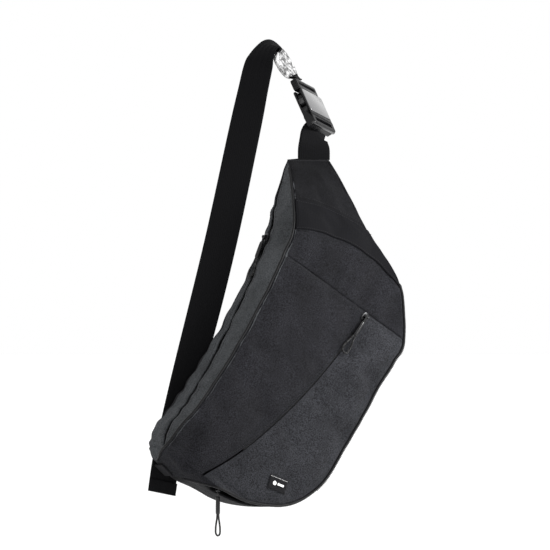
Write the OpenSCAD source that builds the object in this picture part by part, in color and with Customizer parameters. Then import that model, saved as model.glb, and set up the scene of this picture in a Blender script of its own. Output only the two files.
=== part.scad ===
// Sling bag hanging by its shoulder strap. Millimetres, +Z up.
// The origin is the underside of the strap at its highest point.
// -Y is the bag's front, +Y is its back, which lies against the wearer.

/* [Bag] */
// Y of the back face
back_y = -46; // [-50:1:-44]
// Y of the front face where the bag is deepest
front_y = -108; // [-112:1:-104]
// Thickness of each sewn fabric panel with its lining
panel_t = 2.4; // [2:0.1:2.6]
// Thickness of the foam pad on the back
pad_t = 4; // [3:0.5:5]
// Diameter of the piping along the front seams
piping_d = 3; // [2:0.5:4]

/* [Webbing] */
// Width of the shoulder webbing
web_w = 38; // [36:1:40]
// Thickness of the shoulder webbing
web_t = 1.8; // [1.4:0.1:2]

/* [Zips] */
// Width of the closed zip teeth
teeth_w = 6; // [5:0.5:6.5]
// Width of each zip's fabric tape
tape_w = 18; // [14:1:20]
// Length of a slider
slider_l = 11; // [9:0.5:12]
// Diameter of the pull cords
cord_d = 2.2; // [2:0.1:2.4]

/* [Buckle] */
// Width of the buckle
buckle_w = 53; // [50:1:56]
// Length of the closed buckle
buckle_l = 71; // [68:1:74]
// Thickness of the buckle
buckle_t = 11; // [10:0.5:12]

/* [Hidden] */
$fn = 32;

charcoal = [0.20, 0.20, 0.21];
heather = [0.27, 0.28, 0.29];
plain_black = [0.07, 0.07, 0.075];
gloss_black = [0.04, 0.04, 0.045];
steel = [0.6, 0.6, 0.62];

// A track is the arc that a zip follows, in an upright plane that may lean about the arc's middle:
// [centre x, centre z, radius, y at the middle, slider angle at rest, angle at the far end,
//  tilt of the slider, lean of the plane].
main_track = [-862, 181, 924, -65, -26.6, -42, -90, -4.6];
pocket_track = [-470, 100, 685, -108, -38.4, -57, 0, 0];
edge_track = [-60, -372, 168, -96, -115.5, -75, 90, 0];
function middle_angle(track) = (track[4] + track[5]) / 2;
// Y of a track at a point of the bag beside it.
function track_y(track, p) =
    let (turn = atan2(p[1] - track[1], p[0] - track[0]) - middle_angle(track))
    track[3] - track[2] * sin(turn) * sin(track[7]);
// The bottom edge stands out from the edge zip by this much.
edge_recess = 4;

// Point of the long edge at height z, on the main zip's arc.
function long_arc(z) =
    [main_track[0] + sqrt(pow(main_track[2], 2) - pow(z - main_track[1], 2)), z];
// Point of the bottom edge at x, on the edge zip's arc.
function bottom_arc(x) =
    [x, edge_track[1] - sqrt(pow(edge_track[2] + edge_recess, 2) - pow(x - edge_track[0], 2))];

// The bag's rows run across it from the long left edge to the curved right edge:
// [left (x, z), right (x, z), left (back y, front y), right (back y, front y), upward bow (x, z)].
deep = [back_y, front_y];
flat = [0, 0];
rows = [
    [[-1, -141], [43, -141], [-44, -52], [-64, -72], flat],
    [[-19, -187], [80, -226], [back_y, -88], [-58, -98], [2, 6]],
    [long_arc(-222), [116, -290], [back_y, -105], [-50, -106], [6, 14]],
    [long_arc(-252), [123, -352], deep, deep, flat],
    [long_arc(-294), [108, -378], deep, deep, flat],
    [long_arc(-335), [88, -405], deep, deep, flat],
    [long_arc(-372), [66, -437], deep, deep, flat],
    [long_arc(-406), [38, -477], deep, deep, flat],
    [long_arc(-432), [4, -520], deep, deep, flat],
    [long_arc(-452), bottom_arc(-40), [back_y, -104], deep, flat],
    [[-197, -470], bottom_arc(-95), [back_y, -92], deep, flat],
    [[-197, -482], bottom_arc(-143), [back_y, -74], deep, flat],
    [[-190, -494], [-172, -511], [back_y, -58], [back_y, -68], flat]
];
last_row = len(rows) - 1;
band_top = 1;
band_bottom = 2;
seam_row = 3;

// Smooth curve through a list of values, all of one shape, at parameter u.
function smooth(list, u) =
    let (n = len(list) - 1, i = min(floor(u), n - 1), f = u - i)
    let (a = list[max(i - 1, 0)], b = list[i], c = list[i + 1], d = list[min(i + 2, n)])
    b + 0.5 * f * ((c - a) + f * ((2 * a - 5 * b + 4 * c - d) + f * (3 * b - 3 * c + d - a)));
function row(u) = smooth(rows, u);
function row_width(u) = norm(row(u)[1] - row(u)[0]);
function across(u, v) = let (r = row(u)) r[0] + v * (r[1] - r[0]) + 4 * v * (1 - v) * r[4];
function back_of(u, v) = let (r = row(u)) r[2][0] + v * (r[3][0] - r[2][0]);
function front_of(u, v) = let (r = row(u)) r[2][1] + v * (r[3][1] - r[2][1]);
function in_from_left(u, mm) = mm / row_width(u);
function in_from_right(u, mm) = 1 - mm / row_width(u);
// Fraction of row u at which it crosses a circle about the pocket zip's centre.
function zip_crossing(u, radius) =
    let (r = row(u), d = r[1] - r[0], e = r[0] - [pocket_track[0], pocket_track[1]])
    let (a = d * d, b = 2 * (d * e), c = e * e - radius * radius)
    min(1, max(0, (-b + sqrt(max(0, b * b - 4 * a * c))) / (2 * a)));

// Triangles of a closed box of points: count_a by count_b by 2, indexed by (i, j, side).
function grid_faces(na, nb) =
    let (id = function (i, j, s) (i * nb + j) * 2 + s)
    concat(
        [for (i = [0 : na - 2], j = [0 : nb - 2])
            each [[id(i, j, 0), id(i + 1, j, 0), id(i + 1, j + 1, 0)],
                  [id(i, j, 0), id(i + 1, j + 1, 0), id(i, j + 1, 0)],
                  [id(i, j, 1), id(i + 1, j + 1, 1), id(i + 1, j, 1)],
                  [id(i, j, 1), id(i, j + 1, 1), id(i + 1, j + 1, 1)]]],
        [for (i = [0 : na - 2])
            each [[id(i, 0, 0), id(i, 0, 1), id(i + 1, 0, 1)],
                  [id(i, 0, 0), id(i + 1, 0, 1), id(i + 1, 0, 0)],
                  [id(i, nb - 1, 0), id(i + 1, nb - 1, 1), id(i, nb - 1, 1)],
                  [id(i, nb - 1, 0), id(i + 1, nb - 1, 0), id(i + 1, nb - 1, 1)]]],
        [for (j = [0 : nb - 2])
            each [[id(0, j, 0), id(0, j + 1, 1), id(0, j, 1)],
                  [id(0, j, 0), id(0, j + 1, 0), id(0, j + 1, 1)],
                  [id(na - 1, j, 0), id(na - 1, j, 1), id(na - 1, j + 1, 1)],
                  [id(na - 1, j, 0), id(na - 1, j + 1, 1), id(na - 1, j + 1, 0)]]]);

// A curved panel between rows u0 and u1, between two fractions of each row, and between two
// depths. The four limits are functions of (u) and of (u, v).
module panel(u0, u1, v_low, v_high, y_low, y_high, columns = 4, step = 0.5) {
    steps = ceil((u1 - u0) / step);
    points = [for (i = [0 : steps], j = [0 : columns], side = [0, 1])
        let (u = u0 + (u1 - u0) * i / steps)
        let (v = v_low(u) + (v_high(u) - v_low(u)) * j / columns, p = across(u, v))
        [p[0], side == 0 ? y_low(u, v) : y_high(u, v), p[1]]];
    polyhedron(points, grid_faces(steps + 1, columns + 1));
}

// A flat strap along stations of [point, width direction].
module ribbon(stations, width, thickness, offset = 0, step = 0.34) {
    count = ceil((len(stations) - 1) / step);
    last = len(stations) - 1;
    points = [for (i = [0 : count], j = [-1, 1], side = [-1, 1])
        let (u = last * i / count, here = smooth(stations, u))
        let (ahead = smooth(stations, min(u + 0.05, last))[0])
        let (behind = smooth(stations, max(u - 0.05, 0))[0])
        let (t = (ahead - behind) / norm(ahead - behind), raw = here[1] - (here[1] * t) * t)
        let (w = raw / norm(raw), n = cross(w, t))
        here[0] + w * j * width / 2 + n * (offset + side * thickness / 2)];
    polyhedron(points, grid_faces(count + 1, 2));
}

// A round tube along a list of points.
module tube(route, diameter, sides = 8) {
    n = len(route);
    points = [for (i = [0 : n - 1], k = [0 : sides - 1])
        let (ahead = route[min(i + 1, n - 1)], behind = route[max(i - 1, 0)])
        let (t = (ahead - behind) / norm(ahead - behind))
        let (side = cross(t, [0.1, 0.2, 1]), a = side / norm(side), b = cross(t, a))
        let (turn = 360 * k / sides)
        route[i] + (a * cos(turn) + b * sin(turn)) * diameter / 2];
    walls = [for (i = [0 : n - 2], k = [0 : sides - 1])
        let (m = (k + 1) % sides)
        each [[i * sides + k, i * sides + m, (i + 1) * sides + m],
              [i * sides + k, (i + 1) * sides + m, (i + 1) * sides + k]]];
    ends = [[for (k = [sides - 1 : -1 : 0]) k], [for (k = [0 : sides - 1]) (n - 1) * sides + k]];
    polyhedron(points, concat(walls, ends));
}

// Limits of panels, as functions of the row u and the fraction v across it.
at_left = function (u) 0;
at_right = function (u) 1;
outer_back = function (u, v) back_of(u, v);
inner_back = function (u, v) back_of(u, v) - panel_t;
outer_front = function (u, v) front_of(u, v);
inner_front = function (u, v) front_of(u, v) + panel_t;
// Sewn pieces lie this far apart, and each zip's slot is this wide to each side of its middle.
seam_gap = 0.15;
slot_half = 5;

// Front panels that meet at a row stop this far short of it.
row_gap = 0.01;
module front_sheet(u0, u1, v_low, v_high) {
    panel(u0, u1, v_low, v_high, outer_front, inner_front);
}
module back_panel() {
    color(plain_black)
        panel(0, last_row, at_left, at_right, inner_back, outer_back);
}
module back_pad() {
    inset = 0.14;
    pad_end = 7;
    pad_gap = 0.7;
    outline = [
        for (u = [seam_row : 0.5 : pad_end]) across(u, inset),
        for (u = [pad_end : -0.5 : seam_row]) across(u, 1 - inset)
    ];
    color(plain_black)
        translate([0, back_y + pad_gap, 0]) rotate([90, 0, 0]) mirror([0, 0, 1])
            linear_extrude(pad_t) polygon(outline);
}
module top_wing_panel() {
    color(charcoal)
        front_sheet(0, band_bottom - row_gap, at_left, at_right);
}
module ribbed_band() {
    band_t = 1.6;
    color(plain_black)
        panel(band_top, band_bottom, at_left, at_right,
            function (u, v) outer_front(u, v) - seam_gap - band_t,
            function (u, v) outer_front(u, v) - seam_gap);
}
module middle_panel() {
    color(charcoal)
        front_sheet(band_bottom + row_gap, seam_row - row_gap, at_left, at_right);
}
module main_front_panel() {
    color(charcoal)
        front_sheet(seam_row, last_row, at_left,
            function (u) zip_crossing(u, pocket_track[2] - slot_half));
}
module pocket_panel() {
    color(charcoal)
        front_sheet(seam_row, last_row - 1,
            function (u) zip_crossing(u, pocket_track[2] + slot_half), at_right);
}
module pocket_lining() {
    lining_t = 1;
    lining_depth = 18;
    left_inset = 30;
    right_inset = 8;
    color(plain_black)
        panel(seam_row + 0.4, last_row - 3, function (u) in_from_left(u, left_inset),
            function (u) in_from_right(u, right_inset),
            function (u, v) outer_front(u, v) + lining_depth,
            function (u, v) outer_front(u, v) + lining_depth + lining_t);
}

function main_slot(u, side) = track_y(main_track, across(u, 0)) + side * slot_half;
edge_slot = edge_track[3] + slot_half;
// Gussets start just below the bag's top, and no strip of them is narrower than these.
gusset_top = 0.1;
narrow_strip = 1;
edge_strip = 8;
module long_gusset_front() {
    color(heather)
        panel(gusset_top, last_row, at_left, function (u) in_from_left(u, panel_t),
            function (u, v) inner_front(u, v) + seam_gap,
            function (u, v) max(main_slot(u, -1), inner_front(u, v) + narrow_strip), 1);
}
module long_gusset_back() {
    color(heather)
        panel(gusset_top, last_row, at_left, function (u) in_from_left(u, panel_t),
            function (u, v) min(inner_back(u, v) - 1.5 * narrow_strip,
                max(main_slot(u, 1), inner_front(u, v) + narrow_strip + seam_gap)),
            function (u, v) inner_back(u, v) - seam_gap, 1);
}
module side_gusset() {
    tip_rows = 0.9;
    color(heather)
        panel(gusset_top, last_row, function (u) in_from_right(u, panel_t), at_right,
            function (u, v) u > last_row - tip_rows ? inner_front(u, v) + seam_gap
                : max(inner_front(u, v) + seam_gap, min(back_of(u, v) - edge_strip, edge_slot)),
            function (u, v) inner_back(u, v) - seam_gap, 1);
}
module tip_binding() {
    binding = [19, 15, 1.6];
    slope = 40;
    middle = across(last_row, 0.5);
    tip_front = -62;
    color(plain_black)
        translate([middle[0] - 0.9, (back_y + tip_front) / 2, middle[1] - binding[2]])
            rotate([0, slope, 0]) cube(binding, center = true);
}
// Point beside an edge of the bag (v is 0 or 1), outside it by a distance, at the front.
function beside(u, v, gap) =
    let (before = across(max(u - 0.1, 0), v), after = across(min(u + 0.1, last_row), v))
    let (t = (after - before) / norm(after - before), side = v == 0 ? 1 : -1, p = across(u, v))
    [p[0] + side * t[1] * gap, front_of(u, v) + piping_d / 2, p[1] - side * t[0] * gap];
module piping(v, u0, u1) {
    gap = piping_d / 2 + 0.6;
    color(gloss_black) tube([for (u = [u0 : 0.25 : u1]) beside(u, v, gap)], piping_d);
}
module front_piping() { piping(0, 0.3, last_row - 0.2); }
module edge_piping() { piping(1, band_bottom, last_row - 0.25); }

// Heights in a slider's frame, in which Z = 0 is the panel's outer face.
teeth_z = [-2.6, -0.2];
tape_z = [-3.6, -2.8];
main_tape_w = 11.5;
edge_tape_w = 8;
pin_z = 4.2;
pin_r = 0.8;

// Puts children at an angle along a track, with +X along it, +Y across it and +Z out of the bag.
module on_track(track, angle) {
    about_track(track) rotate([0, 0, angle])
        translate([track[2], 0, 0]) rotate([0, 0, 90]) rotate([track[6], 0, 0]) children();
}
// Puts children in a track's own plane, with the arc's centre at the origin.
module about_track(track) {
    middle = middle_angle(track);
    rotate([90, 0, 0]) translate([track[0], track[1], -track[3]]) rotate([0, 0, middle])
        rotate([track[7], 0, 0]) rotate([0, 0, -middle]) children();
}
// An arc of strip on a track, between two angles, of a given width and heights above the face.
module arc_strip(track, from, to, width, heights) {
    out = track[6] == 0 ? 0 : (track[6] > 0 ? 1 : -1);
    low = min(heights[0] * out, heights[1] * out);
    size = out == 0 ? [width, heights[1] - heights[0]] : [heights[1] - heights[0], width];
    corner = out == 0 ? [-width / 2, heights[0]] : [low, -width / 2];
    about_track(track) rotate([0, 0, from])
        rotate_extrude(angle = to - from, $fn = 360)
            translate([track[2] + corner[0], corner[1]]) square(size);
}
// A whole zip's strip: it runs on past the slider's two limits by these angles.
module zip_strip(track, width, heights, start_margin, end_margin) {
    turned = track[5] > track[4] ? 1 : -1;
    arc_strip(track, min(track[4] - turned * start_margin, track[5] + turned * end_margin),
        max(track[4] - turned * start_margin, track[5] + turned * end_margin), width, heights);
}
module main_zip_tape() { color(plain_black) zip_strip(main_track, main_tape_w, tape_z, 0.8, 0.8); }
module main_zip_teeth() { color(plain_black) zip_strip(main_track, teeth_w, teeth_z, 0.8, 0.8); }
module pocket_zip_tape() { color(plain_black) zip_strip(pocket_track, tape_w, tape_z, 0.7, 0.8); }
module pocket_zip_teeth() { color(plain_black) zip_strip(pocket_track, teeth_w, teeth_z, 0.3, 0.8); }
module edge_zip_tape() { color(plain_black) zip_strip(edge_track, edge_tape_w, tape_z, 4, 4); }
module edge_zip_teeth() { color(plain_black) zip_strip(edge_track, teeth_w, teeth_z, 4, 4); }
module edge_zip_side_teeth() {
    arc_start = 8.2;
    color(plain_black)
        panel(band_bottom + 0.1, arc_start, function (u) in_from_right(u, edge_recess - teeth_z[0]),
            function (u) in_from_right(u, edge_recess - teeth_z[1]),
            function (u, v) edge_track[3] - teeth_w / 2,
            function (u, v) edge_track[3] + teeth_w / 2, 1);
}

module label_place() {
    translate([-60, front_y, -521]) rotate([90, 0, 0]) rotate([0, 0, -18]) children();
}
label_w = 28;
label_h = 16;
label_t = 0.7;
module label_patch() {
    color(plain_black) label_place() translate([0, 0, 0.15]) linear_extrude(label_t)
        square([label_w, label_h], center = true);
}
module label_mark() {
    color("white") label_place() translate([0, 0, 0.2 + label_t]) {
        linear_extrude(0.3) translate([-6, 0]) circle(d = 5);
        linear_extrude(0.3) translate([3, 0]) square([9, 2.4], center = true);
    }
}

// Straps: each station is a point on the strap's middle and the direction of its width.
strap_stations = [
    [[-146, -39, -414], [0.93, -0.05, -0.35]],
    [[-117, -32, -342], [0.90, -0.35, -0.2]],
    [[-78, -22, -235], [0.82, -0.57, 0]],
    [[-38, -12, -108], [0.70, -0.72, 0]],
    [[-23, -8, -60], [0.56, -0.83, 0]],
    [[-14, -5, -34], [0.51, -0.86, 0]],
    [[-9, -5, -20], [0.31, -0.95, 0]],
    [[-2, -5, -9.5], [-0.07, -0.97, -0.22]],
    [[6.5, -4.5, -6], [-0.52, -0.82, -0.22]],
    [[13, -5.5, -10.5], [-0.76, -0.65, -0.04]],
    [[20.5, -9.5, -25.5], [-0.90, -0.44, 0.10]],
    [[28.5, -15, -40], [-0.89, -0.40, 0.19]],
    [[34.5, -21, -46], [-0.87, -0.43, 0.23]]
];
strap_end = len(strap_stations) - 1;
tail_stations = [
    [[-147, -44.9, -418], [0.93, 0, -0.35]],
    [[-160, -44.9, -447], [0.93, 0, -0.35]],
    [[-172, -44.9, -492], [0.98, 0, -0.2]],
    [[-179, -44.9, -531], [0.98, 0, -0.2]]
];
short_stations = [
    [[28, -60, -140.4], [0.91, -0.41, 0]],
    [[28, -60, -131], [0.91, -0.41, 0]],
    [[29, -58.5, -120], [0.93, -0.12, -0.1]],
    [[30.5, -56.5, -112], [0.95, 0.03, -0.2]]
];
module long_strap() { color(plain_black) ribbon(strap_stations, web_w, web_t); }
// The end of the long strap is doubled under itself.
return_offset = -(web_t + 0.4);
module strap_return() {
    stations = [for (i = [strap_end - 2 : strap_end]) strap_stations[i]];
    color(plain_black) ribbon(stations, web_w - 1, web_t, offset = return_offset);
}
module clear_film() {
    film_t = 0.5;
    clear = (web_t + film_t) / 2 + 0.9;
    stations = [for (u = [strap_end - 8 / 3 : 1 / 3 : strap_end - 0.9]) smooth(strap_stations, u)];
    color([0.8, 0.8, 0.82])
        for (height = [clear, return_offset - clear])
            ribbon(stations, web_w + 1, film_t, offset = height, step = 1);
}
module strap_tail() { color(plain_black) ribbon(tail_stations, web_w, web_t); }
module strap_tail_hem() {
    tail_end = tail_stations[len(tail_stations) - 1];
    hem = [[tail_end[0] + [2.5, 0, 14], tail_end[1]], tail_end];
    color(plain_black) ribbon(hem, web_w, web_t, offset = -(web_t + seam_gap), step = 1);
}
module short_strap() { color(plain_black) ribbon(short_stations, web_w, 2 * web_t + 0.2); }

// Buckle: +X across it, +Y out of its top face, +Z from the male end to the female end.
buckle_turn = [148.5, 13.4, 26.5];
buckle_at = [35, -22, -47];
mouth_z = 21.5;
male_z = [6.5, 20.5];
wall = 2;
cavity_t = buckle_t - 2 * wall;
plate_end = buckle_l - 13;
module in_buckle() { translate(buckle_at) rotate(buckle_turn) children(); }
// A plate in the buckle's XZ plane with rounded corners, centred on Y = 0.
module rounded_plate(w, z0, z1, t, r) {
    rotate([-90, 0, 0]) mirror([0, 1, 0]) translate([0, 0, -t / 2]) linear_extrude(t)
        union() {
            translate([-w / 2 + r, z0]) square([w - 2 * r, z1 - z0]);
            translate([-w / 2, z0 + r]) square([w, z1 - z0 - 2 * r]);
            for (x = [-1, 1], z = [z0 + r, z1 - r])
                translate([x * (w / 2 - r), z]) circle(r);
        }
}
// The part of the housing between two heights on Y and two lengths on Z.
module housing_part(y0, y1, z0, z1) {
    intersection() {
        rounded_plate(buckle_w, mouth_z, buckle_l, buckle_t, 4);
        translate([-buckle_w, y0, z0]) cube([2 * buckle_w, y1 - y0, z1 - z0]);
    }
}
module buckle_top_plate() {
    color(gloss_black) in_buckle() housing_part(cavity_t / 2, buckle_t, 0, plate_end);
}
module buckle_bottom_plate() {
    color(gloss_black) in_buckle() housing_part(-buckle_t, -cavity_t / 2, 0, plate_end);
}
module buckle_housing() {
    cheek_z = 46;
    cheek_w = 7.5;
    slot_w = 40;
    slot_l = 5.5;
    color(gloss_black) in_buckle() {
        difference() {
            housing_part(-buckle_t, buckle_t, plate_end, buckle_l + 1);
            // Slot for the short strap
            translate([-slot_w / 2, -buckle_t, buckle_l - 4.5 - slot_l])
                cube([slot_w, 2 * buckle_t, slot_l]);
        }
        for (side = [-1, 1])
            translate([side * (buckle_w - cheek_w) / 2 - cheek_w / 2, -cavity_t / 2, cheek_z])
                cube([cheek_w, cavity_t, plate_end - cheek_z]);
    }
}
module buckle_male() {
    neck_w = 34;
    prong_w = 6;
    prong_l = 31.5;
    web_slot = [40, 4];
    color(gloss_black) in_buckle() {
        difference() {
            rounded_plate(buckle_w - 4, male_z[0], male_z[1], buckle_t - 3, 3);
            translate([-web_slot[0] / 2, -buckle_t, male_z[0] + 4])
                cube([web_slot[0], 2 * buckle_t, web_slot[1]]);
        }
        translate([-neck_w / 2, -3, male_z[1] - 0.5]) cube([neck_w, 6, 4]);
        translate([-prong_w / 2, -2, male_z[1]]) cube([prong_w, 4, prong_l]);
    }
}
module release_arm(side) {
    arm_t = 5.6;
    arm_outline = [[11, 24.5], [15, 24.5], [20, 28], [25.5, 30], [25.8, 41], [21, 44.5], [18.5, 44.5],
        [17.5, 38], [14, 31], [11, 28]];
    color(gloss_black) in_buckle() mirror([side > 0 ? 0 : 1, 0, 0])
        rotate([-90, 0, 0]) mirror([0, 1, 0]) translate([0, 0, -arm_t / 2])
            linear_extrude(arm_t) polygon(arm_outline);
}
module release_arm_left() { release_arm(-1); }
module release_arm_right() { release_arm(1); }

module zip_slider(track) {
    plate_w = 8.8;
    plate_t = 1.6;
    flange_t = 0.9;
    lug_l = 4;
    lug_t = 1;
    pin_l = 4.8;
    color(steel) on_track(track, track[4]) {
        translate([-slider_l / 2, -plate_w / 2, 0.35]) cube([slider_l, plate_w, plate_t]);
        for (s = [-1, 1]) {
            translate([-slider_l / 2, s * (plate_w - flange_t) / 2 - flange_t / 2, -plate_t])
                cube([slider_l, flange_t, 2.2]);
            translate([-lug_l / 2, s * 2.3 - lug_t / 2, 1.8]) cube([lug_l, lug_t, 3.6]);
        }
        translate([0, pin_l / 2, pin_z]) rotate([90, 0, 0]) cylinder(r = pin_r, h = pin_l);
    }
}
// A pull in its own frame: the pin is along Y at the origin and the pull runs to -X.
module pull_frame(track, swing) {
    on_track(track, track[4]) translate([0, 0, pin_z]) rotate([0, swing, 0]) children();
}
sleeve_start = 7;
sleeve_end = 28;
sleeve_r = 2.6;
module zip_pull(track, swing) {
    eye_r = 1.7;
    color(gloss_black) pull_frame(track, swing) {
        difference() {
            union() {
                translate([0, 1.3, 0]) rotate([90, 0, 0]) cylinder(r = eye_r, h = 2.6);
                translate([-sleeve_start - 1, -1.3, -1]) cube([sleeve_start + 1, 2.6, 2]);
            }
            translate([0, 3, 0]) rotate([90, 0, 0]) cylinder(r = pin_r + 0.2, h = 6);
        }
        translate([-sleeve_start, 0, 0]) rotate([0, -90, 0])
            cylinder(r = sleeve_r, h = sleeve_end - sleeve_start);
    }
}
// Route of one side of the cord loop, in the pull's frame, from the sleeve to the loop's end.
loop_half = [
    [-28, 1.3, 0], [-33, 1.9, 0], [-38, 3.3, 0], [-43, 4.4, 0], [-48.2, 4.6, 0],
    [-50.5, 4.0, 0], [-52.2, 2.3, 0]
];
loop_tip = [-52.8, 0, 0];
loop_route = concat(loop_half, [loop_tip],
    [for (i = [len(loop_half) - 1 : -1 : 0]) [loop_half[i][0], -loop_half[i][1], 0]]);
module pull_cord(track, swing) {
    color(plain_black) pull_frame(track, swing) tube(loop_route, cord_d);
}
lying = 0;
hanging = 115.5;
module main_zip_slider() { zip_slider(main_track); }
module main_zip_pull() { zip_pull(main_track, lying); }
module main_pull_cord() { pull_cord(main_track, lying); }
module pocket_zip_slider() { zip_slider(pocket_track); }
module pocket_zip_pull() { zip_pull(pocket_track, lying); }
module pocket_pull_cord() { pull_cord(pocket_track, lying); }
module edge_zip_slider() { zip_slider(edge_track); }
module edge_zip_pull() { zip_pull(edge_track, hanging); }
module edge_pull_cord() { pull_cord(edge_track, hanging); }

back_panel();
back_pad();
top_wing_panel();
ribbed_band();
middle_panel();
main_front_panel();
pocket_panel();
pocket_lining();
long_gusset_front();
long_gusset_back();
side_gusset();
tip_binding();
front_piping();
edge_piping();
main_zip_tape();
main_zip_teeth();
pocket_zip_tape();
pocket_zip_teeth();
edge_zip_tape();
edge_zip_teeth();
edge_zip_side_teeth();
label_patch();
label_mark();
short_strap();
buckle_housing();
buckle_top_plate();
buckle_bottom_plate();
strap_tail();
strap_tail_hem();
long_strap();
strap_return();
clear_film();
buckle_male();
release_arm_left();
release_arm_right();
main_zip_slider();
main_zip_pull();
main_pull_cord();
pocket_zip_slider();
pocket_zip_pull();
pocket_pull_cord();
edge_zip_slider();
edge_zip_pull();
edge_pull_cord();
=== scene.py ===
"""A sling bag hanging by its strap: the looks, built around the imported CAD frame."""
import math

import bmesh
import bpy
import numpy as np
from mathutils import Matrix, Vector, noise


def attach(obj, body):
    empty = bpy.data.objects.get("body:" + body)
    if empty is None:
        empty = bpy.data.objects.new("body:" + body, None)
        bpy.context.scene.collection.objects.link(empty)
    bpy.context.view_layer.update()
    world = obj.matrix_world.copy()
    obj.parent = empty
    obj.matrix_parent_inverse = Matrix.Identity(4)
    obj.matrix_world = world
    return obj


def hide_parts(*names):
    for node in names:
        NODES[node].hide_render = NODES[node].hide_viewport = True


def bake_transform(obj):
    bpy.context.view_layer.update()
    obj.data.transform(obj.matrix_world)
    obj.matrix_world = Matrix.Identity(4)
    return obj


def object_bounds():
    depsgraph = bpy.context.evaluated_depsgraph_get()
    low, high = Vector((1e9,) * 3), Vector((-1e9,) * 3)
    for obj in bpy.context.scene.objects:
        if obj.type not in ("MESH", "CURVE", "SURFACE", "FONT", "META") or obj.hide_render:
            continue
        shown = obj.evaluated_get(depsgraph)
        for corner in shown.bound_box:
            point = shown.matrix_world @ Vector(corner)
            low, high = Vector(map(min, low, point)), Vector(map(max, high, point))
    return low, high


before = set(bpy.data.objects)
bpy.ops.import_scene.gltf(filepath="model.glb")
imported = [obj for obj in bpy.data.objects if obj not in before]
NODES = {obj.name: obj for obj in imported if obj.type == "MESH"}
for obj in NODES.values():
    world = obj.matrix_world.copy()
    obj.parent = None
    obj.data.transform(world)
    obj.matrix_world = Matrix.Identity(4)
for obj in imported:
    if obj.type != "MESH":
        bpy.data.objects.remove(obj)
cad_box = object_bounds()
MM = 0.001

# ---------------------------------------------------------------- camera
VIEW_AZIMUTH = math.radians(-35)
VIEW_DISTANCE = 16.0
VIEW_WIDTH = 550 / 0.85 * MM
SENSOR = 36.0
# Where the middle of the picture falls, right of and below the strap's highest point.
AIM_RIGHT = 10 / 0.85 * MM
AIM_DOWN = 235 / 0.85 * MM


def add_camera():
    right = Vector((math.cos(VIEW_AZIMUTH), math.sin(VIEW_AZIMUTH), 0))
    toward = Vector((math.sin(VIEW_AZIMUTH), -math.cos(VIEW_AZIMUTH), 0))
    data = bpy.data.cameras.new("camera")
    data.sensor_width = SENSOR
    data.lens = SENSOR * VIEW_DISTANCE / VIEW_WIDTH
    data.clip_end = 60
    camera = bpy.data.objects.new("camera", data)
    bpy.context.scene.collection.objects.link(camera)
    camera.location = right * AIM_RIGHT + Vector((0, 0, -AIM_DOWN)) + toward * VIEW_DISTANCE
    camera.rotation_euler = (-toward).to_track_quat("-Z", "Y").to_euler()
    bpy.context.scene.camera = camera


# ---------------------------------------------------------------- objects
def add_object(name, data, body, nodes=(), material=None):
    obj = bpy.data.objects.new(name, data)
    bpy.context.scene.collection.objects.link(obj)
    if material:
        data.materials.append(material)
    if body:
        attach(obj, body)
    if nodes:
        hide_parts(*nodes)
    return obj


def mesh_of(name, points, faces, uvs=None):
    mesh = bpy.data.meshes.new(name)
    mesh.from_pydata([tuple(p) for p in points], [], faces)
    if uvs is not None:
        layer = mesh.uv_layers.new(name="UVMap")
        for loop in mesh.loops:
            layer.data[loop.index].uv = uvs[loop.vertex_index]
    mesh.polygons.foreach_set("use_smooth", [True] * len(mesh.polygons))
    mesh.update()
    return mesh


def grid_faces(rows, columns, flipped=False):
    """Four-sided faces of an open grid of rows by columns of faces."""
    n = columns + 1
    quads = [(i * n + j, i * n + j + 1, (i + 1) * n + j + 1, (i + 1) * n + j)
             for i in range(rows) for j in range(columns)]
    return [quad[::-1] for quad in quads] if flipped else quads


def tube_faces(rings, sides, capped=True):
    """Faces round a tube of several rings of points, with its two ends closed if capped."""
    faces = []
    for i in range(rings - 1):
        for k in range(sides):
            m = (k + 1) % sides
            faces.append((i * sides + k, i * sides + m, (i + 1) * sides + m, (i + 1) * sides + k))
    if capped:
        faces.append(tuple(reversed(range(sides))))
        faces.append(tuple((rings - 1) * sides + k for k in range(sides)))
    return faces


def sharpen(mesh, degrees=35):
    mesh.polygons.foreach_set("use_smooth", [True] * len(mesh.polygons))
    mesh.set_sharp_from_angle(angle=math.radians(degrees))


def apply_modifiers(obj):
    graph = bpy.context.evaluated_depsgraph_get()
    graph.update()
    made = bpy.data.meshes.new_from_object(obj.evaluated_get(graph))
    obj.modifiers.clear()
    obj.data = made


def thicken(obj, thickness):
    solid = obj.modifiers.new("thickness", "SOLIDIFY")
    solid.thickness = thickness
    solid.offset = -1
    apply_modifiers(obj)


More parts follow.
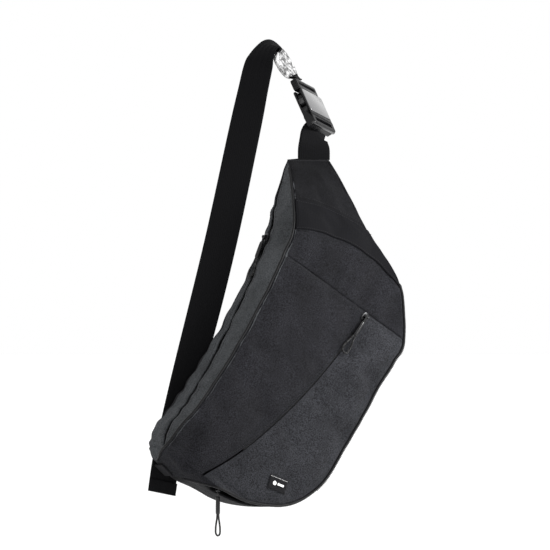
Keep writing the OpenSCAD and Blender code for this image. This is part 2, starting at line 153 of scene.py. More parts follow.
# ---------------------------------------------------------------- materials
class Nodes:
    """Small helper that adds and links shader nodes."""

    def __init__(self, name):
        self.material = bpy.data.materials.new(name)
        self.material.use_nodes = True
        self.tree = self.material.node_tree
        self.shader = self.tree.nodes["Principled BSDF"]
        self.coords = self.tree.nodes.new("ShaderNodeTexCoord")

    def add(self, kind, links=None, **values):
        node = self.tree.nodes.new(kind)
        for key, value in values.items():
            if key in node.inputs:
                node.inputs[key].default_value = value
            else:
                setattr(node, key, value)
        for key, socket in (links or {}).items():
            self.tree.links.new(socket, node.inputs[key])
        return node

    def link(self, socket, name):
        self.tree.links.new(socket, self.shader.inputs[name])

    def noise(self, scale, detail=3.0, source="Object", roughness=0.55):
        made = self.add("ShaderNodeTexNoise", {"Vector": self.coords.outputs[source]},
                        Scale=scale, Detail=detail, Roughness=roughness)
        return made.outputs["Fac"]

    def ramp(self, value, low, high, colours):
        made = self.add("ShaderNodeValToRGB", {"Fac": value})
        first, last = made.color_ramp.elements
        first.position, last.position = low, high
        first.color, last.color = (*colours[0], 1), (*colours[1], 1)
        return made.outputs["Color"]

    def math(self, operation, a, b):
        made = self.add("ShaderNodeMath", operation=operation)
        for slot, value in enumerate((a, b)):
            if isinstance(value, (int, float)):
                made.inputs[slot].default_value = value
            else:
                self.tree.links.new(value, made.inputs[slot])
        return made.outputs[0]

    def mix(self, factor, a, b, blend="MIX"):
        made = self.add("ShaderNodeMix", data_type="RGBA", blend_type=blend)
        for slot, value in ((0, factor), (6, a), (7, b)):
            if hasattr(value, "node"):
                self.tree.links.new(value, made.inputs[slot])
            elif slot == 0:
                made.inputs[slot].default_value = value
            else:
                made.inputs[slot].default_value = (*value, 1)
        return made.outputs[2]

    def wave(self, scale, direction, source="UV", distortion=0.0):
        made = self.add("ShaderNodeTexWave", {"Vector": self.coords.outputs[source]},
                        bands_direction=direction, Scale=scale, Distortion=distortion)
        return made.outputs["Fac"]

    def weave(self, pitch):
        """Height of a plain weave of threads of a given pitch, from the UV map in metres."""
        # A wave texture of scale 1 repeats every pi/10 units.
        scale = math.pi / 10 / pitch
        across_threads = self.wave(scale, "X")
        along_threads = self.wave(scale, "Y")
        checks = self.add("ShaderNodeTexChecker", {"Vector": self.coords.outputs["UV"]},
                          Scale=1 / pitch).outputs["Fac"]
        turned = self.math("SUBTRACT", 1.0, checks)
        return self.math("ADD", self.math("MULTIPLY", across_threads, checks),
                         self.math("MULTIPLY", along_threads, turned))

    def bump(self, height, distance, strength=1.0, below=None):
        links = {"Height": height}
        if below:
            links["Normal"] = below
        made = self.add("ShaderNodeBump", links, Strength=strength, Distance=distance)
        return made.outputs["Normal"]

    def surface(self, **values):
        for key, value in values.items():
            self.shader.inputs[key.replace("_", " ")].default_value = value
        return self.material


def heather_fabric(name, dark, light, pitch=0.0011, sheen=0.03):
    n = Nodes(name)
    flecks = n.ramp(n.noise(800, 3.0, roughness=0.6), 0.34, 0.68, (dark, light))
    patches = n.ramp(n.noise(26, 2.0), 0.3, 0.75, ((0.72, 0.72, 0.72), (1.28, 1.28, 1.28)))
    n.link(n.mix(1.0, flecks, patches, "MULTIPLY"), "Base Color")
    weave = n.weave(pitch)
    grain = n.bump(n.noise(1800, 2.0), 0.00012, 0.5)
    n.link(n.bump(weave, 0.00018, 0.7, grain), "Normal")
    return n.surface(Roughness=0.88, Sheen_Weight=sheen, Sheen_Roughness=0.5,
                     Specular_IOR_Level=0.1)


def plain_fabric(name, colour, pitch=0.0008):
    n = Nodes(name)
    lighter = tuple(c * 1.5 for c in colour)
    n.link(n.ramp(n.noise(300, 4.0), 0.35, 0.7, (colour, lighter)), "Base Color")
    n.link(n.bump(n.weave(pitch), 0.00012, 0.6, n.bump(n.noise(1500), 0.0001, 0.4)), "Normal")
    return n.surface(Roughness=0.85, Sheen_Weight=0.02, Specular_IOR_Level=0.1)


def webbing(name, colour):
    n = Nodes(name)
    lighter = tuple(c * 1.7 for c in colour)
    ribs = n.wave(math.pi / 10 / 0.0022, "X")
    picks = n.wave(math.pi / 10 / 0.0012, "Y", distortion=0.6)
    threads = n.math("MULTIPLY", ribs, picks)
    n.link(n.ramp(threads, 0.1, 0.8, (colour, lighter)), "Base Color")
    n.link(n.bump(threads, 0.0002, 0.7, n.bump(n.noise(1600), 0.0001, 0.35)), "Normal")
    return n.surface(Roughness=0.82, Sheen_Weight=0.01, Specular_IOR_Level=0.08)


def moulded(name, colour, roughness, specular=0.5, coat=0.0):
    n = Nodes(name)
    shade = n.ramp(n.noise(60, 3.0), 0.35, 0.7, (colour, tuple(c * 1.35 for c in colour)))
    n.link(shade, "Base Color")
    low, high = roughness * 0.8, min(1.0, roughness * 1.25)
    rough = n.ramp(n.noise(220, 4.0), 0.3, 0.7, ((low,) * 3, (high,) * 3))
    n.link(rough, "Roughness")
    n.link(n.bump(n.noise(2600, 2.0), 0.00003, 0.35), "Normal")
    return n.surface(Specular_IOR_Level=specular, Coat_Weight=coat, Coat_Roughness=0.08)


def painted_metal(name):
    n = Nodes(name)
    worn = n.ramp(n.noise(700, 5.0), 0.62, 0.74, ((0, 0, 0), (1, 1, 1)))
    n.link(n.mix(worn, (0.012, 0.012, 0.013), (0.32, 0.32, 0.33)), "Base Color")
    n.link(n.ramp(worn, 0.0, 1.0, ((0.28,) * 3, (0.4,) * 3)), "Roughness")
    n.link(n.bump(n.noise(1400), 0.00003, 0.4), "Normal")
    return n.surface(Metallic=0.6)


def braided_cord(name):
    n = Nodes(name)
    flecks = n.ramp(n.noise(700, 2.0), 0.52, 0.6, ((0.004,) * 3, (0.05,) * 3))
    n.link(flecks, "Base Color")
    n.link(n.bump(n.noise(900, 2.0), 0.0003, 0.8), "Normal")
    return n.surface(Roughness=0.5, Specular_IOR_Level=0.15)


def clear_wrap(name):
    n = Nodes(name)
    crumple = n.noise(190, 5.0, roughness=0.65)
    n.link(n.ramp(crumple, 0.4, 0.62, ((0.05,) * 3, (0.62,) * 3)), "Base Color")
    n.link(n.ramp(crumple, 0.36, 0.56, ((0.35,) * 3, (0.97,) * 3)), "Alpha")
    n.link(n.bump(crumple, 0.0012, 0.9), "Normal")
    return n.surface(Roughness=0.18, Specular_IOR_Level=0.6)


def make_materials():
    return {
        "heather": heather_fabric("heather", (0.016, 0.017, 0.018), (0.066, 0.070, 0.075)),
        "charcoal": heather_fabric("charcoal", (0.0005, 0.0005, 0.0008), (0.0175, 0.0178, 0.0215)),
        # The pocket panel's fabric is a lighter copy of the charcoal: painted light, standing in for the
        # light that falls on the bag from the right.
        "pocket": heather_fabric("pocket", (0.003, 0.0031, 0.0036), (0.033, 0.0342, 0.0395)),
        "wing": heather_fabric("wing", (0.001, 0.001, 0.0013), (0.0065, 0.0065, 0.008)),
        "black": plain_fabric("black", (0.009, 0.009, 0.010)),
        "webbing": webbing("webbing", (0.002, 0.002, 0.0024)),
        "band": webbing("band", (0.0028, 0.0028, 0.0036)),
        "piping": moulded("piping", (0.003, 0.003, 0.0035), 0.45, 0.15),
        "teeth": moulded("teeth", (0.004, 0.004, 0.0045), 0.4, 0.15),
        "thread": moulded("thread", (0.006, 0.006, 0.007), 0.55, 0.15),
        "white_thread": moulded("white_thread", (0.55, 0.55, 0.54), 0.6),
        "satin_plastic": moulded("satin_plastic", (0.003, 0.003, 0.0035), 0.4, 0.18),
        "gloss_plastic": moulded("gloss_plastic", (0.006, 0.006, 0.0065), 0.16, 0.4, 0.2),
        # Light grey base colour on the buckle's glossy black cover: a painted reflection of the bright
        # surroundings, on top of the gloss it really reflects with.
        "reflection_painted_plastic": moulded("reflection_painted_plastic", (0.045, 0.045, 0.047), 0.18, 0.8, 1.0),
        "sleeve": moulded("sleeve", (0.004, 0.004, 0.0045), 0.2, 0.3, 0.1),
        "metal": painted_metal("painted_metal"),
        "cord": braided_cord("braided_cord"),
        "film": clear_wrap("clear_wrap"),
        "label": plain_fabric("label_weave", (0.006, 0.006, 0.007), 0.0005),
        "mark": moulded("mark", (0.75, 0.75, 0.74), 0.3),
    }


# ---------------------------------------------------------------- the bag's shell
BACK, FRONT = -46, -108
PANEL_T = 2.4 * MM
# A track is the arc that a zip follows: centre x, centre z, radius, y at the middle, slider
# angle at rest, far angle, tilt of the slider and lean of the plane.
MAIN_TRACK = (-862, 181, 924, -65, -26.6, -42, -90, -4.6)
POCKET_TRACK = (-470, 100, 685, FRONT, -38.4, -57, 0, 0)
EDGE_TRACK = (-60, -372, 168, -96, -115.5, -75, 90, 0)
EDGE_RECESS = 4
# Each zip's slot is this wide to each side of its middle.
SLOT_HALF = 5


def long_arc(z):
    cx, cz, radius = MAIN_TRACK[:3]
    return cx + math.sqrt(radius ** 2 - (z - cz) ** 2), z


def bottom_arc(x):
    cx, cz, radius = EDGE_TRACK[:3]
    return x, cz - math.sqrt((radius + EDGE_RECESS) ** 2 - (x - cx) ** 2)


# Each row runs across the bag from the long left edge to the curved right edge:
# left (x, z), right (x, z), left (back y, front y), right (back y, front y), bow (x, z).
DEEP = (BACK, FRONT)
FLAT = (0, 0)
ROWS = np.array([sum(map(tuple, row), ()) for row in (
    ((-1, -141), (43, -141), (-44, -52), (-64, -72), FLAT),
    ((-19, -187), (80, -226), (BACK, -88), (-58, -98), (2, 6)),
    (long_arc(-222), (116, -290), (BACK, -105), (-50, -106), (6, 14)),
    (long_arc(-252), (123, -352), DEEP, DEEP, FLAT),
    (long_arc(-294), (108, -378), DEEP, DEEP, FLAT),
    (long_arc(-335), (88, -405), DEEP, DEEP, FLAT),
    (long_arc(-372), (66, -437), DEEP, DEEP, FLAT),
    (long_arc(-406), (38, -477), DEEP, DEEP, FLAT),
    (long_arc(-432), (4, -520), DEEP, DEEP, FLAT),
    (long_arc(-452), bottom_arc(-40), (BACK, -104), DEEP, FLAT),
    ((-197, -470), bottom_arc(-95), (BACK, -92), DEEP, FLAT),
    ((-197, -482), bottom_arc(-143), (BACK, -74), DEEP, FLAT),
    ((-190, -494), (-172, -511), (BACK, -58), (BACK, -68), FLAT),
)], float) * MM
LAST_ROW = len(ROWS) - 1
BAND_TOP, BAND_BOTTOM, SEAM_ROW = 1, 2, 3
FRONT_SIDE, RIGHT_SIDE, BACK_SIDE, LEFT_SIDE = range(4)


def smooth(values, u):
    """A smooth curve through a list of values, at parameter u."""
    last = len(values) - 1
    i = min(int(u), last - 1)
    f = u - i
    a, b, c, d = (values[min(max(k, 0), last)] for k in (i - 1, i, i + 1, i + 2))
    return b + 0.5 * f * ((c - a) + f * ((2 * a - 5 * b + 4 * c - d) + f * (3 * (b - c) + d - a)))


def row_width(u):
    r = smooth(ROWS, u)
    return math.hypot(r[2] - r[0], r[3] - r[1])


def pinch(u):
    """How open the shell is: it closes to a seam at both ends."""
    reach = min(u / 0.35, (LAST_ROW - u) / 0.5, 1.0)
    return 0.25 + 0.75 * math.sin(max(reach, 0) * math.pi / 2)


def base_point(u, side, t):
    """A point of the shell before the fabric moves. On the front and back t runs from left to
    right, and on the two gussets it runs from front to back."""
    r = smooth(ROWS, u)
    v = {RIGHT_SIDE: 1.0, LEFT_SIDE: 0.0}.get(side, t)
    depth = {FRONT_SIDE: 1.0, BACK_SIDE: 0.0}.get(side, 1 - t)
    bow = 4 * v * (1 - v)
    x = r[0] + v * (r[2] - r[0]) + bow * r[8]
    z = r[1] + v * (r[3] - r[1]) + bow * r[9]
    back = r[4] + v * (r[6] - r[4])
    front = r[5] + v * (r[7] - r[5])
    middle = (back + front) / 2
    y = middle + ((back + depth * (front - back)) - middle) * pinch(u)
    return Vector((x, y, z))


def pocket_line(u, offset=0.0):
    """Fraction of row u at which it crosses the pocket zip's arc, moved out by offset."""
    r = smooth(ROWS, u)
    cx, cz, radius = (value * MM for value in POCKET_TRACK[:3])
    dx, dz, ex, ez = r[2] - r[0], r[3] - r[1], r[0] - cx, r[1] - cz
    a, b = dx * dx + dz * dz, 2 * (dx * ex + dz * ez)
    c = ex * ex + ez * ez - (radius + offset) ** 2
    return min(1.0, max(0.0, (-b + math.sqrt(max(0.0, b * b - 4 * a * c))) / (2 * a)))


def main_line(u):
    """How far back the main zip runs across the long gusset at row u, from 0 to 1."""
    r = smooth(ROWS, u)
    cx, cz, radius, y = (value * MM for value in MAIN_TRACK[:4])
    middle = math.radians((MAIN_TRACK[4] + MAIN_TRACK[5]) / 2)
    turn = math.atan2(r[1] - cz, r[0] - cx) - middle
    at = y - radius * math.sin(turn) * math.sin(math.radians(MAIN_TRACK[7]))
    front, back = base_point(u, LEFT_SIDE, 0).y, base_point(u, LEFT_SIDE, 1).y
    return min(0.9, max(0.12, (at - front) / (back - front)))


def edge_line(u):
    """How far back the edge zip's slot ends across the side gusset at row u, from 0 to 1."""
    front, back = base_point(u, RIGHT_SIDE, 0).y, base_point(u, RIGHT_SIDE, 1).y
    slot_end = (EDGE_TRACK[3] + SLOT_HALF) * MM
    closing = 1 - smooth_step((u - LAST_ROW + 1.1) / 0.6)
    return min(0.6, max(0.0, (slot_end - front) / (back - front))) * closing


# The shell is simulated as one ring of fabric: how many columns each side takes.
RING = {FRONT_SIDE: 48, RIGHT_SIDE: 12, BACK_SIDE: 30, LEFT_SIDE: 14}
ROW_STEP = 0.1
ROW_COUNT = round(LAST_ROW / ROW_STEP) + 1
CAP = 6.5 * MM


def held(u, side, t):
    """How firmly the seams and zips hold the fabric, from 0 to 1."""
    width = row_width(u)
    if side in (FRONT_SIDE, BACK_SIDE):
        near = min(t, 1 - t) * width
        if side == FRONT_SIDE and u >= SEAM_ROW:
            near = min(near, max(0.0, abs(t - pocket_line(u)) * width - 4 * MM))
        near = min(near, min(abs(u - seam) for seam in (0, LAST_ROW)) * 30 * MM)
        if side == FRONT_SIDE:
            near = min(near, 2 * MM + abs(u - SEAM_ROW) * 30 * MM)
            near = min(near, 2.5 * MM + abs(u - BAND_TOP) * 30 * MM)
    else:
        depth = abs(base_point(u, side, 1).y - base_point(u, side, 0).y)
        near = min(t, 1 - t) * depth
        if side == LEFT_SIDE:
            near = min(near, 1.5 * MM + abs(t - main_line(u)) * depth)
    if side == BACK_SIDE and SEAM_ROW <= u <= 7.5:
        near = min(near, 3 * MM)
    return 1 - min(1.0, near / (5 * MM))


def ring_points():
    """Every (side, t) of one ring of the shell, in order."""
    for side, count in RING.items():
        for j in range(count):
            forward = j / count
            yield side, (1 - forward if side in (BACK_SIDE, LEFT_SIDE) else forward)


def simulated_shell():
    """Blows the shell up gently as cloth held at its seams, and gives how far it moved."""
    ring = list(ring_points())
    n = len(ring)
    points = [base_point(i * ROW_STEP, side, t) for i in range(ROW_COUNT) for side, t in ring]
    faces = [
        (i * n + j, (i + 1) * n + j, (i + 1) * n + (j + 1) % n, i * n + (j + 1) % n)
        for i in range(ROW_COUNT - 1) for j in range(n)
    ]
    moved = np.zeros((len(points), 3))
    mesh = mesh_of("shell_cloth", points, faces)
    obj = bpy.data.objects.new("shell_cloth", mesh)
    bpy.context.scene.collection.objects.link(obj)
    group = obj.vertex_groups.new(name="held")
    for i in range(ROW_COUNT):
        for j, (side, t) in enumerate(ring):
            group.add([i * n + j], max(held(i * ROW_STEP, side, t), 0.0), "REPLACE")
    cloth = obj.modifiers.new("cloth", "CLOTH")
    values = cloth.settings
    values.quality = 6
    values.mass = 0.25
    values.tension_stiffness = values.compression_stiffness = 12
    values.shear_stiffness = 4
    values.bending_stiffness = 0.6
    values.use_pressure = True
    values.uniform_pressure_force = 3.0
    values.shrink_min = -0.025
    values.vertex_group_mass = "held"
    values.pin_stiffness = 2.0
    values.effector_weights.gravity = 0.0
    cloth.collision_settings.use_collision = False
    cloth.point_cache.frame_start, cloth.point_cache.frame_end = 1, 20
    for number in range(1, 21):
        bpy.context.scene.frame_set(number)
    graph = bpy.context.evaluated_depsgraph_get()
    settled = obj.evaluated_get(graph).to_mesh()
    for index, vertex in enumerate(settled.vertices):
        moved[index] = vertex.co - points[index]
    bpy.context.scene.frame_set(1)
    bpy.data.objects.remove(obj)
    moved = moved.reshape(ROW_COUNT, n, 3)
    size = np.linalg.norm(moved, axis=2, keepdims=True)
    moved *= CAP * np.tanh(size / CAP) / np.maximum(size, 1e-9)
    for _ in range(2):
        beside = np.roll(moved, 1, 1) + np.roll(moved, -1, 1)
        ends = moved[:1], moved[-1:]
        along = np.concatenate((ends[0], moved[:-1])) + np.concatenate((moved[1:], ends[1]))
        moved = 0.5 * moved + 0.125 * (beside + along)
    return ring, moved


RING_POINTS, MOVED = simulated_shell()
RING_START = dict(zip(RING, np.cumsum([0, *RING.values()])))


def movement(u, side, t):
    """How far the settled fabric has moved from the plain shell at this point."""
    count = RING[side]
    forward = 1 - t if side in (BACK_SIDE, LEFT_SIDE) else t
    column = RING_START[side] + min(max(forward, 0.0), 1.0) * count
    row = min(max(u / ROW_STEP, 0.0), ROW_COUNT - 1.001)
    i, j = int(row), int(column)
    f, g = row - i, column - j
    a, b = j % len(RING_POINTS), (j + 1) % len(RING_POINTS)
    low = MOVED[i][a] * (1 - g) + MOVED[i][b] * g
    high = MOVED[i + 1][a] * (1 - g) + MOVED[i + 1][b] * g
    return Vector(low * (1 - f) + high * f)


def pucker(u, side, t):
    """Small gathers along the long gusset's back seam and beside the zip."""
    if side != LEFT_SIDE:
        return 0.0
    size = 1.3 * MM * smooth_step(u / 1.5) * (0.25 + 0.75 * t)
    return size * (noise.noise(Vector((u * 3.1, t * 1.3, 4.2)))
                   + 0.6 * math.sin(u * 9.5 + 2.0 * noise.noise(Vector((u * 1.7, t, 0)))))


def smooth_step(x):
    x = min(max(x, 0.0), 1.0)
    return x * x * (3 - 2 * x)


def outward(u, side):
    """Direction out of the bag at row u of a side."""
    if side == FRONT_SIDE:
        return Vector((0, -1, 0))
    if side == BACK_SIDE:
        return Vector((0, 1, 0))
    r = smooth(ROWS, u)
    along = Vector((r[2] - r[0], 0, r[3] - r[1])).normalized()
    return along if side == RIGHT_SIDE else -along


def wing_flare(u, side, t):
    """How far the wing's curved edge swells out beside its band."""
    reach = {RIGHT_SIDE: 1.0, LEFT_SIDE: 0.0}.get(side, t * t)
    return 5.5 * MM * reach * math.exp(-(((u - 1.75) / 0.5) ** 2))


def skin(u, side, t, lift=0.0):
    """A point of the settled fabric, raised by lift."""
    edge = -wing_flare(u, side, t)
    if side == BACK_SIDE:
        edge += pucker(u, LEFT_SIDE, 1.0) * max(0.0, 1 - 8 * t)
    return (base_point(u, side, t) + movement(u, side, t)
            + outward(u, side) * (lift + pucker(u, side, t)) - outward(u, RIGHT_SIDE) * edge)


# ---------------------------------------------------------------- sewn panels
EDGE_DISTANCES = [0.0, 0.5 * MM, 1.2 * MM, 2.2 * MM, 3.6 * MM]


def stations_between(low, high, length, step=3 * MM):
    """Fractions from low to high, closer together beside the two edges."""
    span = (high - low) * length
    if span < 4 * EDGE_DISTANCES[-1]:
        return [low + (high - low) * k / 8 for k in range(9)]
    inner = EDGE_DISTANCES[-1]
    count = max(2, math.ceil((span - 2 * inner) / step))
    middle = [inner + (span - 2 * inner) * k / count for k in range(1, count)]
    places = EDGE_DISTANCES + middle + [span - d for d in reversed(EDGE_DISTANCES)]
    return [low + place / length for place in places]


def seam_dip(distance, depth=1.5 * MM):
    """How far fabric dips into a seam at this distance from it."""
    return depth * math.exp(-((distance / (1.6 * MM)) ** 2))


def add_panel(name, side, rows, limits, material, nodes, lift=0.0, dips=(True,) * 4,
              thickness=PANEL_T, count=None):
    """A sewn panel on one side of the shell. rows is (first, last), limits gives (low, high) at a
    row, and dips says which edges sink into a seam: left, right, top, bottom."""
    first, last = rows
    length = sum((skin(first + (last - first) * k / 20, side, sum(limits(first)) / 2)
                  - skin(first + (last - first) * (k + 1) / 20, side, sum(limits(first)) / 2)).length
                 for k in range(20))
    us = [first + (last - first) * s for s in stations_between(0, 1, length)]
    middle = (first + last) / 2
    low, high = limits(middle)
    wide = (skin(middle, side, low) - skin(middle, side, high)).length
    columns = stations_between(0, 1, wide) if count is None else [k / count for k in range(count + 1)]
    points, uvs = [], []
    for u in us:
        low, high = limits(u)
        here = (skin(u, side, low) - skin(u, side, high)).length
        for c in columns:
            left, right = c * here, (1 - c) * here
            top = (u - first) / (last - first) * length
            bottom = length - top
            drop = sum(seam_dip(d) for d, wanted in zip((left, right, top, bottom), dips) if wanted)
            points.append(skin(u, side, low + c * (high - low), lift - min(drop, 1.6 * MM)))
            uvs.append((c * here, top))
    faces = grid_faces(len(us) - 1, len(columns) - 1, side in (FRONT_SIDE, RIGHT_SIDE))
    obj = add_object(name, mesh_of(name, points, faces, uvs), "bag", nodes, material)
    thicken(obj, thickness)
    return obj


# ---------------------------------------------------------------- stitches and piping
def capsule(points, faces, middle, along, up, length, radius):
    """Adds one small rounded stitch to a list of points and faces."""
    side = along.cross(up).normalized()
    start = len(points)
    rings = ((-0.5, 0.35), (-0.32, 1.0), (0.32, 1.0), (0.5, 0.35))
    for place, size in rings:
        for k in range(6):
            turn = math.pi / 3 * k
            points.append(middle + along * (place * length)
                          + (side * math.cos(turn) + up * math.sin(turn) * 0.7) * radius * size)
    for i in range(len(rings) - 1):
        for k in range(6):
            m = (k + 1) % 6
            a, b = start + i * 6, start + (i + 1) * 6
            faces.append((a + k, a + m, b + m, b + k))
    faces.append(tuple(start + k for k in reversed(range(6))))
    faces.append(tuple(start + 18 + k for k in range(6)))


def add_stitches(name, lines, material, body="bag", pitch=3.2 * MM, length=2.3 * MM,
                 radius=0.28 * MM):
    """Rows of stitches; each line is a list of (point, up)."""
    points, faces = [], []
    for line in lines:
        carried = 0.0
        for (a, up), (b, _) in zip(line, line[1:]):
            gap = (b - a).length
            if gap < 1e-6:
                continue
            while carried < gap:
                here = a.lerp(b, carried / gap)
                capsule(points, faces, here, (b - a) / gap, up, length, radius)
                carried += pitch
            carried -= gap
    return add_object(name, mesh_of(name, points, faces), body, (), material)


def seam_line(side, us, place, lift=0.0):
    """Points along the shell at rows us; place gives the fraction at a row."""
    return [(skin(u, side, place(u), lift), outward(u, side)) for u in us]


def steps(first, last, step):
    count = max(1, round(abs(last - first) / step))
    return [first + (last - first) * k / count for k in range(count + 1)]


def add_tube(name, route, radius, material, body, nodes, sides=14, ends=1.0):
    """A round tube along a list of points, with the fine twist marks of a sewn cord."""
    points, uvs = [], []
    run = 0.0
    last = len(route) - 1
    for i, p in enumerate(route):
        along = (route[min(i + 1, last)] - route[max(i - 1, 0)]).normalized()
        side = along.cross(Vector((0.1, 0.2, 1))).normalized()
        other = along.cross(side)
        run += (p - route[max(i - 1, 0)]).length
        size = radius * (ends if i in (0, last) else 1.0)
        for k in range(sides):
            turn = 2 * math.pi * k / sides
            ripple = 1 + 0.035 * math.sin(run / (1.1 * MM) + turn)
            points.append(p + (side * math.cos(turn) + other * math.sin(turn)) * size * ripple)
            uvs.append((turn * radius, run))
    faces = tube_faces(len(route), sides)
    return add_object(name, mesh_of(name, points, faces, uvs), body, nodes, material)


# ---------------------------------------------------------------- tracks and zips
def turn(axis, degrees):
    return Matrix.Rotation(math.radians(degrees), 4, axis)


def about_track(track):
    cx, cz, _, y = (value * MM for value in track[:4])
    middle = (track[4] + track[5]) / 2
    return (turn("X", 90) @ Matrix.Translation((cx, cz, -y)) @ turn("Z", middle)
            @ turn("X", track[7]) @ turn("Z", -middle))


def on_track(track, angle):
    """Frame of a place on a track: +X along it, +Y across it, +Z out of the bag."""
    return (about_track(track) @ turn("Z", angle) @ Matrix.Translation((track[2] * MM, 0, 0))
            @ turn("Z", 90) @ turn("X", track[6]))


def track_angles(track, margin, pitch):
    low, high = sorted(track[4:6])
    step = math.degrees(pitch / (track[2] * MM))
    return steps(low - margin, high + margin, step)


def add_coil(name, track, margin, nodes, material, pitch=1.5 * MM, height=-1.4 * MM, half=1.3 * MM):
    """The two meshing rows of a coil zip along a track."""
    points, faces = [], []
    for k, angle in enumerate(track_angles(track, margin, pitch / 2)):
        place = on_track(track, angle)
        sideways = 1 if k % 2 else -1
        middle = place @ Vector((0, sideways * 0.35 * half, height))
        across = (place.to_3x3() @ Vector((0, 1, 0))).normalized()
        up = (place.to_3x3() @ Vector((0, 0, 1))).normalized()
        capsule(points, faces, middle, across, up, 1.6 * half, 0.45 * MM)
    return add_object(name, mesh_of(name, points, faces), "bag", nodes, material)


def add_tape(name, track, margin, nodes, material, half, height=-3.2 * MM):
    """The woven tape under a zip, a little cupped."""
    angles = track_angles(track, margin, 3 * MM)
    columns = [half * (k / 4 - 1) for k in range(9)]
    points, uvs = [], []
    for i, angle in enumerate(angles):
        place = on_track(track, angle)
        for c in columns:
            rise = 0.6 * MM * (1 - (c / half) ** 2)
            points.append(place @ Vector((0, c, height + rise)))
            uvs.append((c, i * 3 * MM))
    faces = grid_faces(len(angles) - 1, len(columns) - 1)
    obj = add_object(name, mesh_of(name, points, faces, uvs), "bag", nodes, material)
    thicken(obj, 0.7 * MM)
    return obj


def extruded(outline, low, high):
    """A flat plate from an outline of (x, y), between two heights."""
    n = len(outline)
    points = [Vector((x, y, z)) for z in (low, high) for x, y in outline]
    faces = [tuple(reversed(range(n))), tuple(range(n, 2 * n))]
    faces += [(k, (k + 1) % n, n + (k + 1) % n, n + k) for k in range(n)]
    return points, faces


def lathed(profile, sides=24):
    """A turned shape about the X axis from (x, radius) pairs."""
    points = []
    for x, radius in profile:
        for k in range(sides):
            a = 2 * math.pi * k / sides
            points.append(Vector((x, radius * math.cos(a), radius * math.sin(a))))
    return points, tube_faces(len(profile), sides)


def gather(shapes, place):
    """Joins (points, faces) shapes into one, moved to a place."""
    points, faces = [], []
    for shape_points, shape_faces in shapes:
        start = len(points)
        points += [place @ p for p in shape_points]
        faces += [tuple(start + k for k in face) for face in shape_faces]
    return points, faces


def bevelled(obj, width, segments=3, degrees=30):
    bevel = obj.modifiers.new("bevel", "BEVEL")
    bevel.width = width
    bevel.segments = segments
    bevel.limit_method = "ANGLE"
    bevel.angle_limit = math.radians(degrees)
    apply_modifiers(obj)
    sharpen(obj.data)
    return obj


def scaled(pairs):
    return [(x * MM, y * MM) for x, y in pairs]


SLIDER_PLATE = scaled([(-5.5, 3.2), (-4.6, 4.3), (-1.5, 4.4), (2.5, 3.8), (5.0, 2.4), (5.5, 1.0),
                       (5.5, -1.0), (5.0, -2.4), (2.5, -3.8), (-1.5, -4.4), (-4.6, -4.3),
                       (-5.5, -3.2)])
PIN_HEIGHT = 4.2 * MM


def bridge(low, high):
    """The arched loop on a slider that its pull hangs from."""
    inner, outer = 1.9 * MM, 2.8 * MM
    shapes = []
    for sign in (-1, 1):
        outline = scaled([(-2.4, 0), (-2.0, 3.0), (-1.0, 3.9), (1.0, 3.9), (2.0, 3.0), (2.4, 0)])
        points, faces = extruded(outline, inner * sign, outer * sign)
        if sign < 0:
            faces = [tuple(reversed(face)) for face in faces]
        stand = Matrix.Translation((0, 0, low)) @ turn("X", 90)
        shapes.append(([stand @ p for p in points], faces))
    pin, pin_faces = lathed([(-outer, 0.4 * MM), (-outer, 0.8 * MM), (outer, 0.8 * MM),
                             (outer, 0.4 * MM)], 16)
    across = Matrix.Translation((0, 0, high)) @ turn("Z", 90)
    shapes.append(([across @ p for p in pin], pin_faces))
    return shapes


def add_slider(name, track, body, nodes, material):
    plate = extruded(SLIDER_PLATE, 0.5 * MM, 1.8 * MM)
    neck = extruded(scaled([(-3.5, 0.7), (3.5, 0.7), (3.5, -0.7), (-3.5, -0.7)]), -2.0 * MM, 0.6 * MM)
    rails = [extruded(scaled([(-4.2, s * 3.4), (1.5, s * 3.3), (1.5, s * 2.5), (-4.2, s * 2.6)][::s]),
                      1.7 * MM, 2.3 * MM) for s in (-1, 1)]
    shapes = [plate, neck, *rails, *bridge(1.7 * MM, PIN_HEIGHT)]
    points, faces = gather(shapes, on_track(track, track[4]))
    obj = add_object(name, mesh_of(name, points, faces), body, nodes, material)
    fix_normals(obj)
    return bevelled(obj, 0.22 * MM, 2)


def fix_normals(obj):
    shape = bmesh.new()
    shape.from_mesh(obj.data)
    bmesh.ops.recalc_face_normals(shape, faces=shape.faces)
    shape.to_mesh(obj.data)
    shape.free()


LOOP_HALF = [(-28, 1.3), (-33, 1.9), (-38, 3.3), (-43, 4.4), (-48.2, 4.6), (-50.5, 4.0),
             (-52.2, 2.3)]
LOOP = LOOP_HALF + [(-52.8, 0)] + [(x, -y) for x, y in reversed(LOOP_HALF)]
CORD_DIAMETER = 2.2 * MM


def pull_frame(track, swing):
    return on_track(track, track[4]) @ Matrix.Translation((0, 0, PIN_HEIGHT)) @ turn("Y", swing)


